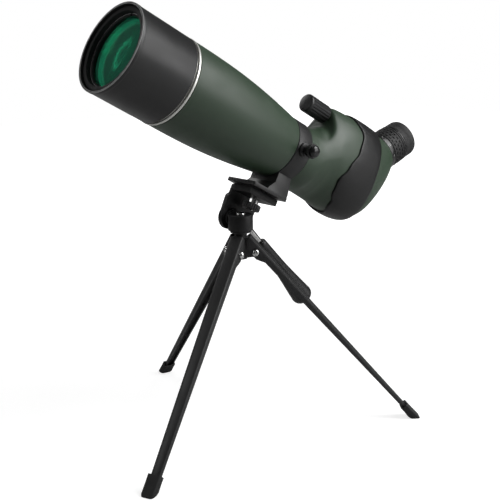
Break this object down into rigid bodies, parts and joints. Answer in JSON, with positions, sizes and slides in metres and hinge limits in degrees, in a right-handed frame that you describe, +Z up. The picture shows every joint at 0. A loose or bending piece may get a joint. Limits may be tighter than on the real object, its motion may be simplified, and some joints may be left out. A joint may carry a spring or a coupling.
{
  "type": "spotting scope",
  "caption": "Angled zoom spotting scope with rubber armour and sliding sunshade, held in a rotating collar on a short pan-and-tilt table tripod with a lowered handle.",
  "frame": {"origin": "centre of the bounding box at its bottom, on the ground under the three feet", "axes": "+Z up, -X towards the objective and the scene, +X towards the eyepiece, -Y towards the side with the collar lock knob"},
  "size_m": [0.4296, 0.3108, 0.4425],
  "materials": {
    "green_paint": "satin green lacquer over cast aluminium",
    "black_paint": "satin black lacquer or anodising over aluminium",
    "tripod_paint": "satin black lacquer with fine grain over cast aluminium",
    "black_plastic": "fine matt",
    "grey_plastic": "smooth satin",
    "rubber": "matt",
    "bright_steel": "polished",
    "silver": "turned and clear anodised",
    "dark_aluminium": "anodised",
    "brass": "plain",
    "coated_glass": "green antireflection coating",
    "clear_glass": "polished"
  },
  "bodies": {
    "stand": {"hub": "tripod_paint", "pan_washer": "rubber", "pan_screw": "bright_steel", "leg_pin_front": "bright_steel", "leg_pin_left": "bright_steel", "leg_pin_right": "bright_steel"},
    "leg_front": {"leg_front": "tripod_paint", "foot_front": "rubber"},
    "leg_left": {"leg_left": "tripod_paint", "foot_left": "rubber"},
    "leg_right": {"leg_right": "tripod_paint", "foot_right": "rubber"},
    "pan_head": {"pan_block": "tripod_paint"},
    "tilt_head": {"tilt_bracket": "tripod_paint", "platform_pad": "rubber", "tilt_washer": "rubber", "tilt_bolt": "bright_steel", "tripod_collar": "black_paint"},
    "handle": {"handle_rod": "bright_steel", "handle_grip": "black_plastic"},
    "thumbwheel": {"camera_screw": "bright_steel", "camera_screw_wheel": "black_plastic"},
    "collar_lock": {"collar_lock_screw": "bright_steel", "collar_lock_knob": "black_plastic", "collar_lock_cap": "grey_plastic"},
    "scope": {"front_barrel": "green_paint", "trim_ring": "silver", "objective_cell": "black_paint", "objective_retaining_ring": "black_paint", "crown_lens": "coated_glass", "flint_lens": "clear_glass", "tube_baffle": "black_paint", "prism_housing": "green_paint", "rubber_armour": "rubber", "focus_bush": "brass", "prism_cage": "dark_aluminium", "turning_prism": "clear_glass", "roof_prism": "clear_glass", "eyepiece_base": "black_paint", "eyepiece_sleeve": "black_paint", "eyepiece_trim_ring": "black_paint", "field_lens": "clear_glass", "eye_lens": "clear_glass"},
    "sunshade": {"sunshade": "black_paint"},
    "focus_knob": {"focus_knob": "black_plastic", "focus_screw": "bright_steel"},
    "focus_carriage": {"focus_carriage": "black_paint", "focus_lens": "clear_glass"},
    "zoom_ring": {"zoom_ring": "black_plastic"},
    "zoom_lens": {"zoom_lens_cell": "black_paint", "zoom_lens": "clear_glass"},
    "eyecup": {"eyecup": "rubber"}
  },
  "joints": [
    {"name": "leg_front_fold", "type": "hinge", "parent": "stand", "child": "leg_front", "pos_m": [-0.04994, -0.04117, 0.1905], "axis": [0.3875, -0.9219, 0], "range_deg": [0, 40]},
    {"name": "leg_left_fold", "type": "hinge", "parent": "stand", "child": "leg_left", "pos_m": [-0.03444, -0.02075, 0.1905], "axis": [-0.9921, 0.1253, 0], "range_deg": [0, 40]},
    {"name": "leg_right_fold", "type": "hinge", "parent": "stand", "child": "leg_right", "pos_m": [-0.02451, -0.04438, 0.1905], "axis": [0.6046, 0.7965, 0], "range_deg": [0, 40]},
    {"name": "pan", "type": "hinge", "parent": "stand", "child": "pan_head", "pos_m": [-0.0363, -0.03543, 0.2135], "axis": [0, 0, 1], "range_deg": [-28, 50]},
    {"name": "tilt", "type": "hinge", "parent": "pan_head", "child": "tilt_head", "pos_m": [-0.0363, -0.03543, 0.2245], "axis": [0, -1, 0], "range_deg": [-4, 55]},
    {"name": "handle_twist", "type": "hinge", "parent": "tilt_head", "child": "handle", "pos_m": [-0.02245, -0.01763, 0.22251], "axis": [0.6494, 0, -0.7604], "range_deg": [0, 180]},
    {"name": "thumbwheel_turn", "type": "hinge", "parent": "tilt_head", "child": "thumbwheel", "pos_m": [-0.02037, -0.03543, 0.23881], "axis": [-0.4802, 0, -0.8771], "range_deg": [0, 360]},
    {"name": "collar_lock_turn", "type": "hinge", "parent": "tilt_head", "child": "collar_lock", "pos_m": [0.02195, -0.03543, 0.29362], "axis": [0, -1, 0], "range_deg": [0, 360]},
    {"name": "scope_roll", "type": "hinge", "parent": "tilt_head", "child": "scope", "pos_m": [0.02089, -0.03543, 0.29169], "axis": [0.8771, 0, -0.4802], "range_deg": [-120, 120]},
    {"name": "sunshade_slide", "type": "slide", "parent": "scope", "child": "sunshade", "axis": [-0.8771, 0, 0.4802], "range_m": [0, 0.038]},
    {"name": "focus_knob_turn", "type": "hinge", "parent": "scope", "child": "focus_knob", "pos_m": [0.05552, -0.03543, 0.33849], "axis": [0.8771, 0, -0.4802], "range_deg": [-360, 360]},
    {"name": "focus_carriage_slide", "type": "slide", "parent": "scope", "child": "focus_carriage", "axis": [0.8771, 0, -0.4802], "range_m": [-0.007, 0.007]},
    {"name": "zoom_ring_turn", "type": "hinge", "parent": "scope", "child": "zoom_ring", "pos_m": [0.17472, -0.03543, 0.2753], "axis": [0.9409, 0, 0.3387], "range_deg": [0, 130]},
    {"name": "zoom_lens_slide", "type": "slide", "parent": "scope", "child": "zoom_lens", "axis": [0.9409, 0, 0.3387], "range_m": [0, 0.01]},
    {"name": "eyecup_slide", "type": "slide", "parent": "scope", "child": "eyecup", "axis": [0.9409, 0, 0.3387], "range_m": [0, 0.006]}
  ],
  "couplings": [
    {"joint": "focus_knob_turn", "follows": "focus_carriage_slide", "rad_per_m": 897.5},
    {"joint": "zoom_ring_turn", "follows": "zoom_lens_slide", "rad_per_m": 226.89}
  ]
}
